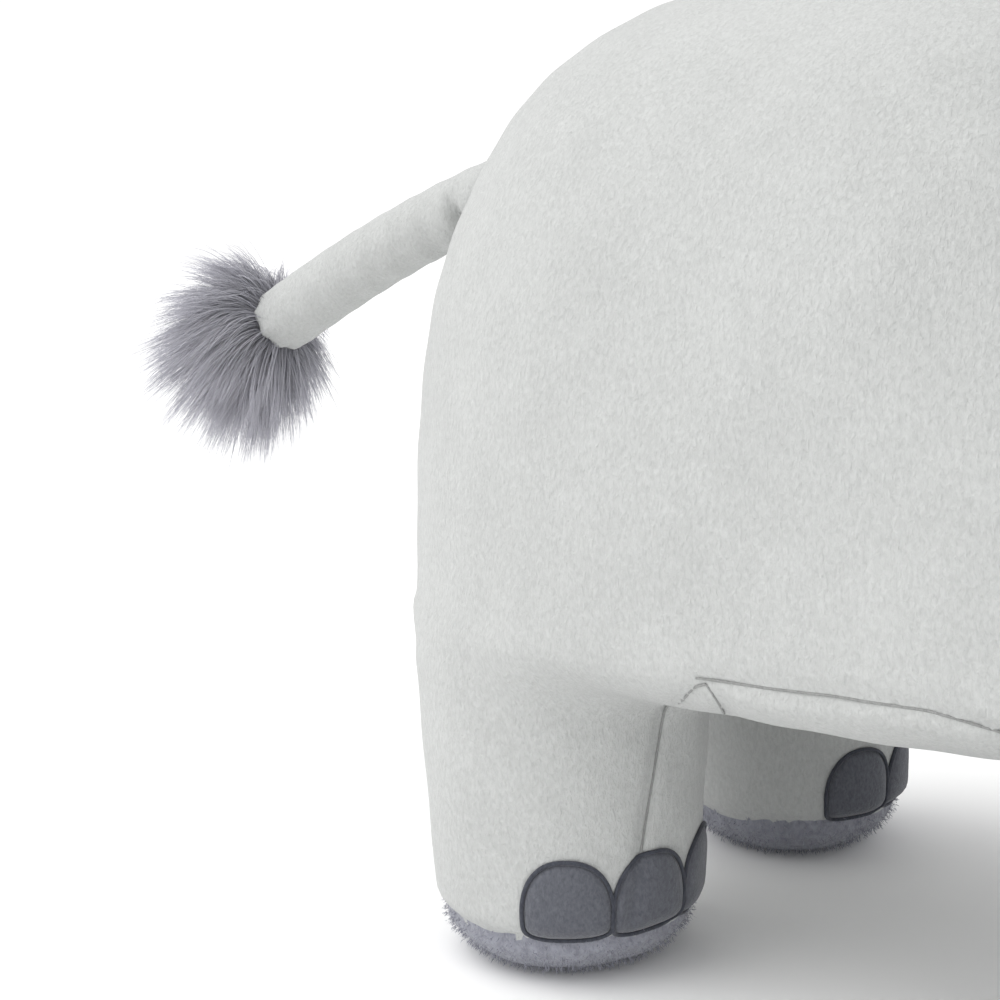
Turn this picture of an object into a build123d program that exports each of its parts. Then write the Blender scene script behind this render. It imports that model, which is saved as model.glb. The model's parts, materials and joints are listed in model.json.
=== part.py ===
from build123d import *
import math
import os

# Stuffed elephant, standing on four legs and facing -Y, with its left side at +X.
# It is laid out from the axis of the hind legs on the floor (y = 0, z = 0). The last step
# moves every piece so that the origin is at the centre of the whole object's base.

# Driving dimensions, in millimetres and degrees.

# Torso: a dome over a flat belly
body_width = 300.0
body_length = 400.0
body_rear = 96.0            # how far the rump stands behind the hind leg axis
back_height = 375.0
belly_height = 95.0
belly_corner = 45.0         # the torso is widest this far above the belly
flank_radius = 560.0        # the side, the shoulder and the back are three tangent arcs
back_edge_radius = 95.0
back_radius = 240.0

# Legs
leg_inset = 66.0            # from the flank in to the leg axis
chest_overhang = 34.0       # how far the chest stands ahead of the front leg axis
foot_radius = 53.0
foot_round = 30.0           # height and reach of the rounded edge of the foot
leg_flare = 0.08            # growth of the leg's radius for each millimetre of height
haunch_rise = 37.0          # the cone of the leg ends in a round haunch this far above the belly

# Fabric and filling
skin = 2.5                  # minky with its pile
fill_gap = 0.6              # between the fabric and the filling
sole_seam = 15.0            # height of the seam round the sole
leg_seam_drop = 3.0         # the inner leg panels end this far below the belly
belly_seam_rise = 23.0      # the seam along the side is this far above the belly
gusset_overhang = 28.0      # and this far outside the leg axis
gusset_inset = 45.0         # the wide part of the belly gusset starts this far in from the legs

# Toenails: three felt domes sewn on the front of each foot
nail_width = 32.0
nail_height = 31.0
nail_thickness = 1.4
nail_lift = 4.0             # between the sole seam and the base of a toenail
nail_spacing = 1.7          # between two toenails
nail_turn = 15.0            # the middle toenail looks outwards by this angle

# Head
head_radius = 108.0
head_ahead = 42.0           # the centre of the head is this far ahead of the chest
head_drop = 39.0            # and this far below the back
gusset_width = 52.0         # forehead gusset and chin panel
neck_gap = 0.6

# Eyes: a bead on a stem, held by a washer behind the fabric
eye_diameter = 17.0
eye_dome = 6.5
eye_seat = 1.2
eye_stem_diameter = 5.0
eye_stem_length = 11.0
eye_stem_gap = 0.2
eye_turn = 44.0             # angle from straight ahead
eye_rise = 14.0             # angle above the level of the head's centre
washer_overlap = 1.0        # the washer is this much wider than the bead
washer_thickness = 1.6
washer_gap = 0.6

# Trunk: its root is a ball in a socket, then it hangs and curls forward
trunk_radius = 37.0
trunk_root_swell = 5.0      # the ball of the root is this much larger in radius
trunk_tip_radius = 24.0
trunk_drop = 32.0           # the root is this far below the head's centre
trunk_root_sink = 4.0       # and this far inside the head's surface when level with it
trunk_first_angle = 22.0    # below level where the trunk leaves the head
trunk_hang_angle = 96.0
trunk_tip_angle = 14.0
trunk_bend_radius = 95.0
trunk_curl_radius = 52.0
trunk_stretch = 12.0        # straight run between the bend and the curl
tip_disc = 2.5

# Tail
tail_drop = 67.0            # the root is this far below the back
tail_root_stand_off = 8.0   # the ball's centre is this far outside the rump
tail_radius = 13.5
tail_root_swell = 3.5       # the ball at the root is this much larger in radius
tail_end_swell = 1.5        # and so is the ball at the end
tail_length = 186.0
tail_droop = 22.0           # angle below level
tail_skin = 2.0
tuft_length = 92.0
tuft_width = 76.0
tuft_round = 30.0           # radius of the round edge at the tuft's blunt tip
tuft_cone = 58.0            # the tuft keeps within this angle of the tail's line

# Ears
ear_root_length = 84.0
ear_root_radius = 8.5
ear_reach = 148.0
ear_height = 196.0
ear_thickness = 13.0
ear_fabric = 2.0
ear_hem = 3.0               # the wadding ends this far inside the outline
ear_sweep = 18.0            # angle of the ear behind straight out
ear_back_offset = 10.0      # the root is behind the head's centre
ear_rise = 12.0             # and above it
ear_stand_off = 3.0

joint_gap = 0.5             # between a moving root and its socket

# Worked out from the sizes above
half_width = body_width / 2
body_centre_y = body_rear - body_length / 2
chest_y = body_rear - body_length
shoulder_height = belly_height + belly_corner
haunch_height = belly_height + haunch_rise
leg_x = half_width - leg_inset
leg_base = -chest_y - chest_overhang
leg_seam = belly_height - leg_seam_drop
belly_seam = belly_height + belly_seam_rise
nail_base = sole_seam + nail_lift
nail_half_angle = math.degrees(math.asin(nail_width / 2 / foot_radius))
nail_pitch = 2 * nail_half_angle + math.degrees(nail_spacing / foot_radius)
head_centre_height = back_height - head_drop
head_centre = Vector(0, chest_y - head_ahead, head_centre_height)
trunk_root_radius = trunk_radius + trunk_root_swell
trunk_root = head_centre + Vector(0, trunk_root_sink - head_radius, -trunk_drop)
washer_diameter = eye_diameter + washer_overlap
tail_root_height = back_height - tail_drop
tail_root_radius = tail_radius + tail_root_swell
tail_end_radius = tail_radius + tail_end_swell
LARGE = 4 * (body_length + body_width + back_height)


def block(x0, x1, y0, y1, z0, z1):
    """A box between two corners, for cutting and keeping regions."""
    return Pos((x0 + x1) / 2, (y0 + y1) / 2, (z0 + z1) / 2) * Box(x1 - x0, y1 - y0, z1 - z0)


def one_solid(shape):
    """The largest solid of a result, without the crumbs that a cut can leave."""
    return max(shape.solids(), key=lambda piece: piece.volume)


def section_arcs(inset):
    """Centres and radii of the torso section's side, edge and back arcs, and where they meet."""
    side = Vector(half_width - flank_radius, shoulder_height)
    top = Vector(0, back_height - back_radius)
    reach_side = flank_radius - back_edge_radius
    reach_top = back_radius - back_edge_radius
    between = top - side
    along = (reach_side**2 - reach_top**2 + between.length**2) / (2 * between.length)
    across = math.sqrt(reach_side**2 - along**2)
    unit = between.normalized()
    edge = side + unit * along + Vector(-unit.Y, unit.X) * across
    side_end = side + (edge - side).normalized() * (flank_radius - inset)
    top_end = top + (edge - top).normalized() * (back_radius - inset)
    return side, edge, top, side_end, top_end


def arc_middle(centre, start, end):
    """The point halfway along the short arc from start to end."""
    middle = (start - centre).normalized() + (end - centre).normalized()
    return centre + middle.normalized() * (start - centre).length


def torso_profile(inset):
    """Half of the torso's section, smaller all round by the inset."""
    side, edge, top, side_end, top_end = section_arcs(inset)
    corner = shoulder_height - belly_height
    corner_centre = Vector(half_width - corner, shoulder_height)
    low = corner_centre - Vector(0, corner - inset)
    wide = Vector(half_width - inset, shoulder_height)
    peak = Vector(0, back_height - inset)
    base = Vector(0, belly_height + inset)
    outline = [
        Line(base, low),
        ThreePointArc(low, arc_middle(corner_centre, low, wide), wide),
        ThreePointArc(wide, arc_middle(side, wide, side_end), side_end),
        ThreePointArc(side_end, arc_middle(edge, side_end, top_end), top_end),
        ThreePointArc(top_end, arc_middle(top, top_end, peak), peak),
        Line(peak, base),
    ]
    return make_face(Curve() + outline)


def torso(inset):
    """The torso, smaller all round by the inset: two round ends and a straight middle."""
    half = Plane.XZ * torso_profile(inset)
    straight = body_length - body_width
    end = revolve(half, Axis.Z, 180)
    rear = Pos(0, straight / 2, 0) * end
    front = Rot(0, 0, 180) * rear
    middle = extrude(half + mirror(half, about=Plane.YZ), straight / 2, both=True)
    return Pos(0, body_centre_y, 0) * (rear + middle + front)


def torso_reach(height):
    """How far the torso's round end stands from its own axis at a height above the shoulder."""
    side, edge, top, side_end, top_end = section_arcs(0)
    if height > top_end.Y:
        return math.sqrt(back_radius**2 - (height - top.Y) ** 2)
    if height > side_end.Y:
        return edge.X + math.sqrt(back_edge_radius**2 - (height - edge.Y) ** 2)
    return side.X + math.sqrt(flank_radius**2 - (height - side.Y) ** 2)


def leg_radius(height):
    """Outer radius of a leg above its rounded edge."""
    return foot_radius + leg_flare * (height - foot_round)


def leg_side(inset):
    """The outline of a leg from the floor to its rounded top, as edges in one chain."""
    centre = Vector(foot_radius - foot_round, foot_round)
    low = centre - Vector(0, foot_round - inset)
    wide = centre + Vector(foot_round - inset, 0)
    top = Vector(leg_radius(haunch_height) - inset, haunch_height)
    cap_centre = Vector(0, haunch_height + leg_flare * leg_radius(haunch_height))
    peak = cap_centre + Vector(0, (top - cap_centre).length)
    return [
        ThreePointArc(low, arc_middle(centre, low, wide), wide),
        Line(wide, top),
        ThreePointArc(top, arc_middle(cap_centre, top, peak), peak),
    ]


def leg(side, axis_y, inset):
    """A leg on its own axis: rounded foot, cone, and a haunch inside the torso."""
    edges = leg_side(inset)
    low = edges[0] @ 0
    peak = edges[-1] @ 1
    base = Vector(0, low.Y)
    profile = Plane.XZ * make_face(Curve() + [Line(base, low)] + edges + [Line(peak, base)])
    return Pos(side * leg_x, axis_y, 0) * revolve(profile, Axis.Z)


pieces = {}
right, left = -1, 1
sides = {"right": right, "left": left}
leg_rows = {"hind": 0.0, "front": -leg_base}
legs = [(f"{s}_{r}", sides[s], leg_rows[r]) for s in sides for r in leg_rows]

# Sockets for the moving roots
tail_root_y = body_rear - half_width + torso_reach(tail_root_height) + tail_root_stand_off
tail_root = Vector(0, tail_root_y, tail_root_height)
tail_socket = Pos(*tail_root) * Sphere(tail_root_radius + joint_gap)
trunk_socket = Pos(*trunk_root) * Sphere(trunk_root_radius + joint_gap)

# Torso and legs: one fabric shell round one filling, then cut along the seams
shell_outer = torso(0)
shell_inner = torso(skin)
filling = torso(skin + fill_gap)
for name, side, axis_y in legs:
    shell_outer += leg(side, axis_y, 0)
    shell_inner += leg(side, axis_y, skin)
    filling += leg(side, axis_y, skin + fill_gap)
shell = shell_outer - shell_inner - tail_socket
filling = filling - tail_socket

upper = block(-LARGE, LARGE, -LARGE, LARGE, leg_seam, LARGE)
between = block(-leg_x, leg_x, -LARGE, LARGE, sole_seam, belly_seam)
gusset_half = leg_x + gusset_overhang
between += block(
    -gusset_half, gusset_half, gusset_inset - leg_base, -gusset_inset, leg_seam, belly_seam
)
above_sole = block(-LARGE, LARGE, -LARGE, LARGE, sole_seam, LARGE)
below_sole = block(-LARGE, LARGE, -LARGE, LARGE, -LARGE, sole_seam)

pieces["body_stuffing"] = one_solid(filling & upper)
pieces["belly_gusset"] = one_solid(shell & between & upper)
flanks = (shell - between) & above_sole
pieces["right_body_panel"] = one_solid(flanks & block(-LARGE, 0, -LARGE, LARGE, 0, LARGE))
pieces["left_body_panel"] = one_solid(flanks & block(0, LARGE, -LARGE, LARGE, 0, LARGE))


def nail_layer():
    """A thin band of felt round a leg's axis, lying on the foot where the toenails go."""
    inner = leg_side(0)[:2]
    outer = leg_side(-nail_thickness)[:2]
    ends = [Line(inner[0] @ 0, outer[0] @ 0), Line(inner[1] @ 1, outer[1] @ 1)]
    return revolve(Plane.XZ * make_face(Curve() + inner + outer + ends), Axis.Z)


def nail_outline():
    """A dome with a straight base, drawn flat."""
    half = nail_width / 2
    dome = nail_height - half
    outline = [
        Line((-half, 0), (half, 0)),
        Line((half, 0), (half, dome)),
        ThreePointArc((half, dome), (0, nail_height), (-half, dome)),
        Line((-half, dome), (-half, 0)),
    ]
    return make_face(Curve() + outline)


felt_band = nail_layer()
nail_face = nail_outline()


def toenail(side, axis_y, turn):
    """A felt dome lying on the front of a foot, turned outwards by an angle."""
    direction = Vector(side * math.sin(math.radians(turn)), -math.cos(math.radians(turn)), 0)
    sideways = Vector(0, 0, 1).cross(direction)
    frame = Plane(origin=(0, 0, nail_base), x_dir=sideways, z_dir=direction)
    prism = extrude(frame * nail_face, 2 * foot_radius)
    return Pos(side * leg_x, axis_y, 0) * one_solid(felt_band & prism)


for name, side, axis_y in legs:
    reach = leg_radius(haunch_height)
    around = block(
        side * leg_x - reach, side * leg_x + reach, axis_y - reach, axis_y + reach, -1, leg_seam
    )
    leg_shell = leg(side, axis_y, 0) - leg(side, axis_y, skin)
    pieces[f"{name}_inner_leg_panel"] = one_solid(leg_shell & around & between)
    pieces[f"{name}_sole"] = one_solid(leg_shell & below_sole)
    pieces[f"{name}_leg_stuffing"] = one_solid(leg(side, axis_y, skin + fill_gap) & around)
    for place, step in (("outer", 1), ("middle", 0), ("inner", -1)):
        pieces[f"{name}_{place}_toenail"] = toenail(side, axis_y, nail_turn + step * nail_pitch)

# Head: fabric shell round its filling, closed against the front of the torso and its legs
torso_and_legs = torso(-neck_gap)
for name, side, axis_y in legs:
    torso_and_legs += leg(side, axis_y, -neck_gap)
head_shell = Pos(*head_centre) * (Sphere(head_radius) - Sphere(head_radius - skin))
head_fill = Pos(*head_centre) * Sphere(head_radius - skin - fill_gap)


def ear_axis(side):
    """A point on the hinge line of an ear, just outside the side of the head."""
    reach = math.sqrt(head_radius**2 - ear_back_offset**2 - ear_rise**2) + ear_stand_off
    return head_centre + Vector(side * reach, ear_back_offset, ear_rise)


head_cuts = torso_and_legs + trunk_socket
for side in (right, left):
    groove = Cylinder(ear_root_radius + joint_gap, ear_root_length + 2 * joint_gap)
    head_cuts += Pos(*ear_axis(side)) * groove
head_shell -= head_cuts
head_fill -= head_cuts


def eye_frame(side):
    """A frame on the head's surface with its Z axis straight out of the fabric."""
    turn = math.radians(eye_turn)
    rise = math.radians(eye_rise)
    ray = Vector(
        side * math.sin(turn) * math.cos(rise), -math.cos(turn) * math.cos(rise), math.sin(rise)
    )
    return Plane(origin=head_centre + ray * head_radius, x_dir=(0, 0, 1), z_dir=ray)


def disc(frame, radius, low, high):
    """A cylinder on a frame's Z axis, from one height to another."""
    return frame * (Pos(0, 0, (low + high) / 2) * Cylinder(radius, high - low))


for word, side in sides.items():
    frame = eye_frame(side)
    dome_radius = (eye_diameter**2 / 4 + eye_dome**2) / (2 * eye_dome)
    dome = Pos(0, 0, eye_dome - dome_radius) * Sphere(dome_radius)
    dome &= block(-LARGE, LARGE, -LARGE, LARGE, 0, LARGE)
    bead = frame * (Pos(0, 0, -eye_seat) * dome)
    stem_end = -eye_seat - eye_stem_length
    bead += disc(frame, eye_stem_diameter / 2, stem_end, -eye_seat)
    pieces[f"{word}_eye"] = one_solid(bead)
    top = -skin - fill_gap
    washer = disc(frame, washer_diameter / 2, top - washer_thickness, top)
    washer -= disc(frame, eye_stem_diameter / 2 + eye_stem_gap, stem_end, 0)
    pieces[f"{word}_eye_washer"] = one_solid(washer)
    head_shell -= disc(frame, eye_diameter / 2 + eye_stem_gap, -eye_seat, eye_dome)
    head_shell -= disc(frame, eye_stem_diameter / 2 + eye_stem_gap, stem_end, 0)
    head_fill -= disc(frame, washer_diameter / 2 + washer_gap, stem_end - washer_gap, 0)

strip = gusset_width / 2
middle_high = block(-strip, strip, -LARGE, LARGE, head_centre_height, LARGE)
middle_low = block(-strip, strip, -LARGE, LARGE, 0, head_centre_height)
pieces["head_stuffing"] = one_solid(head_fill)
pieces["forehead_gusset"] = one_solid(head_shell & middle_high)
pieces["chin_panel"] = one_solid(head_shell & middle_low)
pieces["right_head_panel"] = one_solid(head_shell & block(-LARGE, -strip, -LARGE, LARGE, 0, LARGE))
pieces["left_head_panel"] = one_solid(head_shell & block(strip, LARGE, -LARGE, LARGE, 0, LARGE))


def trunk_stations():
    """Points and headings along the trunk, each with its share of the whole length."""
    first = math.radians(trunk_first_angle)
    hang = math.radians(trunk_hang_angle)
    tip = math.radians(trunk_tip_angle)
    stations = []
    spot = trunk_root
    bend_steps, curl_steps = 5, 5
    travelled = 0.0
    runs = [(trunk_bend_radius * (hang - first) / bend_steps, (hang - first) / bend_steps)] * bend_steps
    runs += [(trunk_stretch, 0.0)]
    runs += [(trunk_curl_radius * (hang - tip) / curl_steps, (tip - hang) / curl_steps)] * curl_steps
    total = sum(length for length, turn in runs)
    heading = first
    stations.append((spot, heading, 0.0))
    for length, turn in runs:
        middle = heading + turn / 2
        spot = spot + Vector(0, -math.cos(middle), -math.sin(middle)) * length
        heading += turn
        travelled += length
        stations.append((spot, heading, travelled / total))
    return stations


def trunk_form(inset):
    """The trunk with its ball root, smaller all round by the inset."""
    circles = []
    for spot, heading, share in trunk_stations():
        radius = trunk_radius + (trunk_tip_radius - trunk_radius) * share - inset
        direction = Vector(0, -math.cos(heading), -math.sin(heading))
        circles.append(Plane(origin=spot, x_dir=(1, 0, 0), z_dir=direction) * Circle(radius))
    return loft(circles) + Pos(*trunk_root) * Sphere(trunk_root_radius - inset)


tip_spot, tip_heading = trunk_stations()[-1][:2]
tip_direction = Vector(0, -math.cos(tip_heading), -math.sin(tip_heading))
tip_plane = Plane(origin=tip_spot - tip_direction * tip_disc, x_dir=(1, 0, 0), z_dir=tip_direction)
tip_region = extrude(tip_plane * Circle(trunk_radius), 2 * tip_disc)
gap_region = Pos(*(tip_direction * -fill_gap)) * tip_region
trunk_skin = trunk_form(0) - tip_region - trunk_form(skin)
pieces["trunk_stuffing"] = one_solid(trunk_form(skin + fill_gap) - gap_region)
pieces["trunk_right_panel"] = one_solid(trunk_skin & block(-LARGE, 0, -LARGE, LARGE, 0, LARGE))
pieces["trunk_left_panel"] = one_solid(trunk_skin & block(0, LARGE, -LARGE, LARGE, 0, LARGE))
pieces["trunk_tip_disc"] = one_solid(extrude(tip_plane * Circle(trunk_tip_radius), tip_disc))

# Tail: a straight tapered sleeve with a ball at each end, and a tuft that swings on the end
droop = math.radians(tail_droop)
tail_direction = Vector(0, math.cos(droop), -math.sin(droop))
tail_frame = Plane(origin=tail_root, x_dir=(1, 0, 0), z_dir=tail_direction)


def tail_form(inset):
    """The tail's sleeve as a solid, smaller all round by the inset."""
    cone = Cone(tail_radius - inset, tail_end_radius - inset, tail_length)
    form = Pos(0, 0, tail_length / 2) * cone
    form += Sphere(tail_root_radius - inset)
    form += Pos(0, 0, tail_length) * Sphere(tail_end_radius - inset)
    return tail_frame * form


pieces["tail_sleeve"] = one_solid(tail_form(0) - tail_form(tail_skin))
pieces["tail_stuffing"] = one_solid(tail_form(tail_skin + fill_gap))
tuft_start = tail_end_radius + joint_gap


def tuft_form():
    """A body round the tail's line: a cone round the ball of the tail, then a blunt round tip."""
    cone = math.radians(tuft_cone)
    ray = Vector(math.sin(cone), math.cos(cone))
    inner = ray * tuft_start
    widest = Vector(tuft_width / 2, tuft_length - tuft_round)
    shoulder = ray * (widest.X / ray.X)
    tip = Vector(0, tuft_length)
    flat = Vector(widest.X - tuft_round, tuft_length)
    corner = Vector(flat.X, widest.Y)
    ball = Vector(0, tuft_start)
    outline = [
        Line(inner, shoulder),
        Line(shoulder, widest),
        ThreePointArc(widest, arc_middle(corner, widest, flat), flat),
        Line(flat, tip),
        Line(tip, ball),
        ThreePointArc(ball, arc_middle(Vector(0, 0), ball, inner), inner),
    ]
    return revolve(Plane.XZ * make_face(Curve() + outline), Axis.Z)


pieces["tail_tuft"] = one_solid(tail_frame * (Pos(0, 0, tail_length) * tuft_form()))


def ear_outline(hem):
    """The ear's outline, with its straight root edge on the hinge line."""
    root = ear_root_length / 2 - hem
    high = ear_height / 2 - hem
    far = ear_reach - hem
    edge = Spline(
        (hem, root),
        (0.40 * ear_reach, high),
        (far, 0.12 * ear_height),
        (0.62 * ear_reach, -0.88 * high),
        (hem, -root),
        tangents=[(0.35, 1), (-0.6, 1)],
    )
    return make_face(Curve() + [edge, Line((hem, -root), (hem, root))])


def ear_layer(face, low, high):
    """A flat layer of the ear between two heights through its thickness."""
    return Pos(0, 0, low) * extrude(face, high - low)


# The left ear, and its mirror image on the right
sweep = math.radians(ear_sweep)
outwards = Vector(math.cos(sweep), math.sin(sweep), 0)
ear_frame = Plane(origin=ear_axis(left), x_dir=outwards, z_dir=outwards.cross(Vector(0, 0, 1)))
ear_face = ear_thickness / 2
lining_back = ear_face - ear_fabric
ear_back = ear_layer(ear_outline(0), -ear_face, lining_back)
ear_back += Rot(90, 0, 0) * Cylinder(ear_root_radius, ear_root_length)
ear_back -= block(0, LARGE, -LARGE, LARGE, lining_back, LARGE)
pocket = ear_layer(ear_outline(ear_hem + ear_root_radius), -ear_face + ear_fabric, lining_back)
ear_pieces = {
    "ear_back": ear_back - pocket,
    "ear_wadding": pocket,
    "ear_lining": ear_layer(ear_outline(0), lining_back, ear_face),
}
for name, piece in ear_pieces.items():
    left_piece = one_solid(ear_frame * piece)
    pieces[f"left_{name}"] = left_piece
    pieces[f"right_{name}"] = mirror(left_piece, about=Plane.YZ)

# Move everything so that the origin is at the centre of the base, and write the pieces
boxes = [piece.bounding_box() for piece in pieces.values()]
low = Vector(*(min(getattr(box.min, axis) for box in boxes) for axis in "XYZ"))
high = Vector(*(max(getattr(box.max, axis) for box in boxes) for axis in "XYZ"))
shift = Vector(-(low.X + high.X) / 2, -(low.Y + high.Y) / 2, -low.Z)
os.makedirs("parts", exist_ok=True)
for name, piece in pieces.items():
    export_step(Pos(*shift) * piece, f"parts/{name}.step")

points = {
    "tail root": tail_root,
    "tail end": tail_root + tail_direction * tail_length,
    "trunk root": trunk_root,
    "right ear": ear_axis(right),
    "left ear": ear_axis(left),
}
for name, point in points.items():
    print(name, tuple(round(value, 2) for value in point + shift))
print("whole size", tuple(round(value, 1) for value in high - low))
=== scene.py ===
import json
import math

import bmesh
import bpy
import numpy as np
from mathutils import Matrix, Vector
from mathutils.bvhtree import BVHTree
from mathutils.kdtree import KDTree

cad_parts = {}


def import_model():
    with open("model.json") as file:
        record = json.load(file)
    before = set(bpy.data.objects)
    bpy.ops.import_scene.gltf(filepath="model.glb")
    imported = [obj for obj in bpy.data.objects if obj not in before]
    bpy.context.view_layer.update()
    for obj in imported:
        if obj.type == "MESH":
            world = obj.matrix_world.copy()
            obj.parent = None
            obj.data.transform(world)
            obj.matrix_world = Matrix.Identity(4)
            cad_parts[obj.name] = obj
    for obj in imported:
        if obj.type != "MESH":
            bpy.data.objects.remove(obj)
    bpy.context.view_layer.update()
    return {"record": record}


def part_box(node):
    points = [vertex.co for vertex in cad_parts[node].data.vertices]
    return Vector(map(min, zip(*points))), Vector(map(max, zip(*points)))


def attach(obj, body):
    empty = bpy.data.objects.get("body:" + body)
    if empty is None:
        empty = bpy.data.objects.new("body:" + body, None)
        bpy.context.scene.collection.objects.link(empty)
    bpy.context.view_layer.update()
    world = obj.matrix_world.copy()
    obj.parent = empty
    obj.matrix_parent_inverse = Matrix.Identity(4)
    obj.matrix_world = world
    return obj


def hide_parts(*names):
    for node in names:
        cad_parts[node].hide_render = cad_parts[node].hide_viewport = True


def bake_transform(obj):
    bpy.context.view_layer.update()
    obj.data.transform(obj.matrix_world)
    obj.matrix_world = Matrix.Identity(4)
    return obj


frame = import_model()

# Stuffed elephant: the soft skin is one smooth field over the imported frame, cut into its
# fabric pieces along the seams. Metres throughout, +Z up, the elephant faces -Y.

# Places read from the frame
sole_low, sole_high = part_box("right_hind_sole")
front_low, front_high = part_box("right_front_sole")
FLOOR = sole_low[2]
SOLE_SEAM = sole_high[2] + 0.005
LEG_X = -(sole_low[0] + sole_high[0]) / 2
HIND_Y = (sole_low[1] + sole_high[1]) / 2
FRONT_Y = (front_low[1] + front_high[1]) / 2
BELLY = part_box("belly_gusset")[0][2] + 0.014
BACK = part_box("right_body_panel")[1][2]
HALF_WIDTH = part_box("left_body_panel")[1][0]
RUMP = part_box("left_body_panel")[1][1]
joints = {joint["name"]: joint for joint in frame["record"]["behaviour"]["joints"]}
TRUNK_ROOT = np.array(joints["trunk_lift"]["pos_m"])
TAIL_ROOT = np.array(joints["tail_lift"]["pos_m"])
TAIL_END = np.array(joints["tuft_swing"]["pos_m"])
EAR_ROOT = np.array(joints["left_ear_flap"]["pos_m"])
head_low, head_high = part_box("head_stuffing")
HEAD = np.array([0.0, TRUNK_ROOT[1] + 0.104, (head_low[2] + head_high[2]) / 2])

# Sizes of the soft forms
TORSO_LENGTH = 0.400
TORSO_END = 0.162
TORSO_WIDEST = 0.140
FOOT_RADIUS = 0.053
FOOT_ROUND = 0.030
LEG_FLARE = 0.060
HAUNCH = 0.118
GRID = 0.0032
TRUNK_THICK = 0.037
TRUNK_THIN = 0.022
TRUNK_SLACK = 0.0005
TRUNK_DOWN = np.array([0, -0.5, -0.86])
SEAM_WIDTH = 0.0030
SEAM_DEPTH = 0.0022
NECK_WIDTH = 0.0045
NECK_DEPTH = 0.0030
STRIP_HALF = 0.026
GUSSET_HALF = 0.118
NEAR_LEG = 0.10


# ---------------------------------------------------------------- distance fields

def smooth_min(a, b, k):
    """The lower of two fields, with a round blend where they cross."""
    h = np.clip(0.5 + 0.5 * (b - a) / k, 0.0, 1.0)
    return b + (a - b) * h - k * h * (1.0 - h)


def torso_field(p):
    """Rounded dome over a nearly flat belly, with round ends and a straight middle."""
    x = np.abs(p[:, 0]) / HALF_WIDTH
    behind = np.clip(p[:, 1] - (RUMP - TORSO_END), 0, None)
    ahead = np.clip((RUMP - TORSO_LENGTH + TORSO_END) - p[:, 1], 0, None)
    y = (behind + ahead) / TORSO_END
    plan = (x ** 2.23 + y ** 2.23) ** (1 / 2.23)
    rise = p[:, 2] - TORSO_WIDEST
    up = np.clip(rise, 0, None) / (BACK - TORSO_WIDEST)
    down = np.clip(-rise, 0, None) / (TORSO_WIDEST - BELLY)
    power = np.where(rise > 0, 2.62, 2.2)
    level = (plan ** power + (up + down) ** power) ** (1 / power)
    return (level - 1.0) * np.where(rise > 0, 0.15, 0.07)


def leg_field(p, axis_y):
    """A pair of legs: rounded foot, flaring upwards into a round haunch in the torso."""
    radius = np.hypot(np.abs(p[:, 0]) - LEG_X, p[:, 1] - axis_y)
    z = p[:, 2] - FLOOR
    wide = FOOT_RADIUS + LEG_FLARE * (np.clip(z, 0, HAUNCH) - FOOT_ROUND)
    side = radius - (wide - FOOT_ROUND)
    base = FOOT_ROUND - z
    out = np.hypot(np.clip(side, 0, None), np.clip(base, 0, None))
    out = out + np.minimum(np.maximum(side, base), 0)
    haunch = np.hypot(radius, np.clip(z - HAUNCH, 0, None)) - wide
    return np.where(z > HAUNCH, haunch, out - FOOT_ROUND)


def ball(p, centre, radius, squash=(1.0, 1.0, 1.0)):
    """A ball, or an ellipsoid with its three half sizes as shares of the radius."""
    q = (p - np.asarray(centre)) / np.asarray(squash)
    return (np.linalg.norm(q, axis=1) - radius) * min(squash)


def trunk_path(steps=24):
    """Points and radii down the trunk: it bends down from the face, then curls forward."""
    first, hang, tip = (math.radians(a) for a in (22.0, 96.0, 14.0))
    runs = [(0.095 * (hang - first) / steps, (hang - first) / steps)] * steps
    runs += [(0.012, 0.0)]
    runs += [(0.052 * (hang - tip) / steps, (tip - hang) / steps)] * steps
    spot = TRUNK_ROOT.copy()
    heading = first
    points = [spot]
    for length, turn in runs:
        middle = heading + turn / 2
        spot = spot + np.array([0, -math.cos(middle), -math.sin(middle)]) * length
        heading += turn
        points.append(spot)
    share = np.linspace(0, 1, len(points))
    return np.array(points), TRUNK_THICK + (TRUNK_THIN - TRUNK_THICK) * share - TRUNK_SLACK


def chain_field(p, points, radii):
    """A tapering tube along a chain of points."""
    best = np.full(len(p), 1e3)
    for i in range(len(points) - 1):
        a, b = points[i], points[i + 1]
        ab = b - a
        t = np.clip(((p - a) @ ab) / (ab @ ab), 0, 1)
        radius = radii[i] + (radii[i + 1] - radii[i]) * t
        best = np.minimum(best, np.linalg.norm(p - a - t[:, None] * ab, axis=1) - radius)
    return best


TRUNK_POINTS, TRUNK_RADII = trunk_path()


def mirrored(p):
    """The same points folded on to the left side."""
    return np.column_stack([np.abs(p[:, 0]), p[:, 1], p[:, 2]])


def head_field(p):
    """Skull, brow, cheeks and a small lower lip."""
    q = mirrored(p)
    skull = ball(p, HEAD + [0, 0.002, 0.002], 0.1055, (0.99, 1.0, 1.0))
    cheek = ball(q, HEAD + [0.046, -0.050, -0.040], 0.050)
    brow = ball(q, HEAD + [0.032, -0.052, 0.048], 0.050)
    lip = ball(p, HEAD + [0, -0.074, -0.072], 0.024, (1.25, 1.2, 0.9))
    field = smooth_min(skull, cheek, 0.030)
    field = smooth_min(field, brow, 0.030)
    return smooth_min(field, lip, 0.016)


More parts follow.
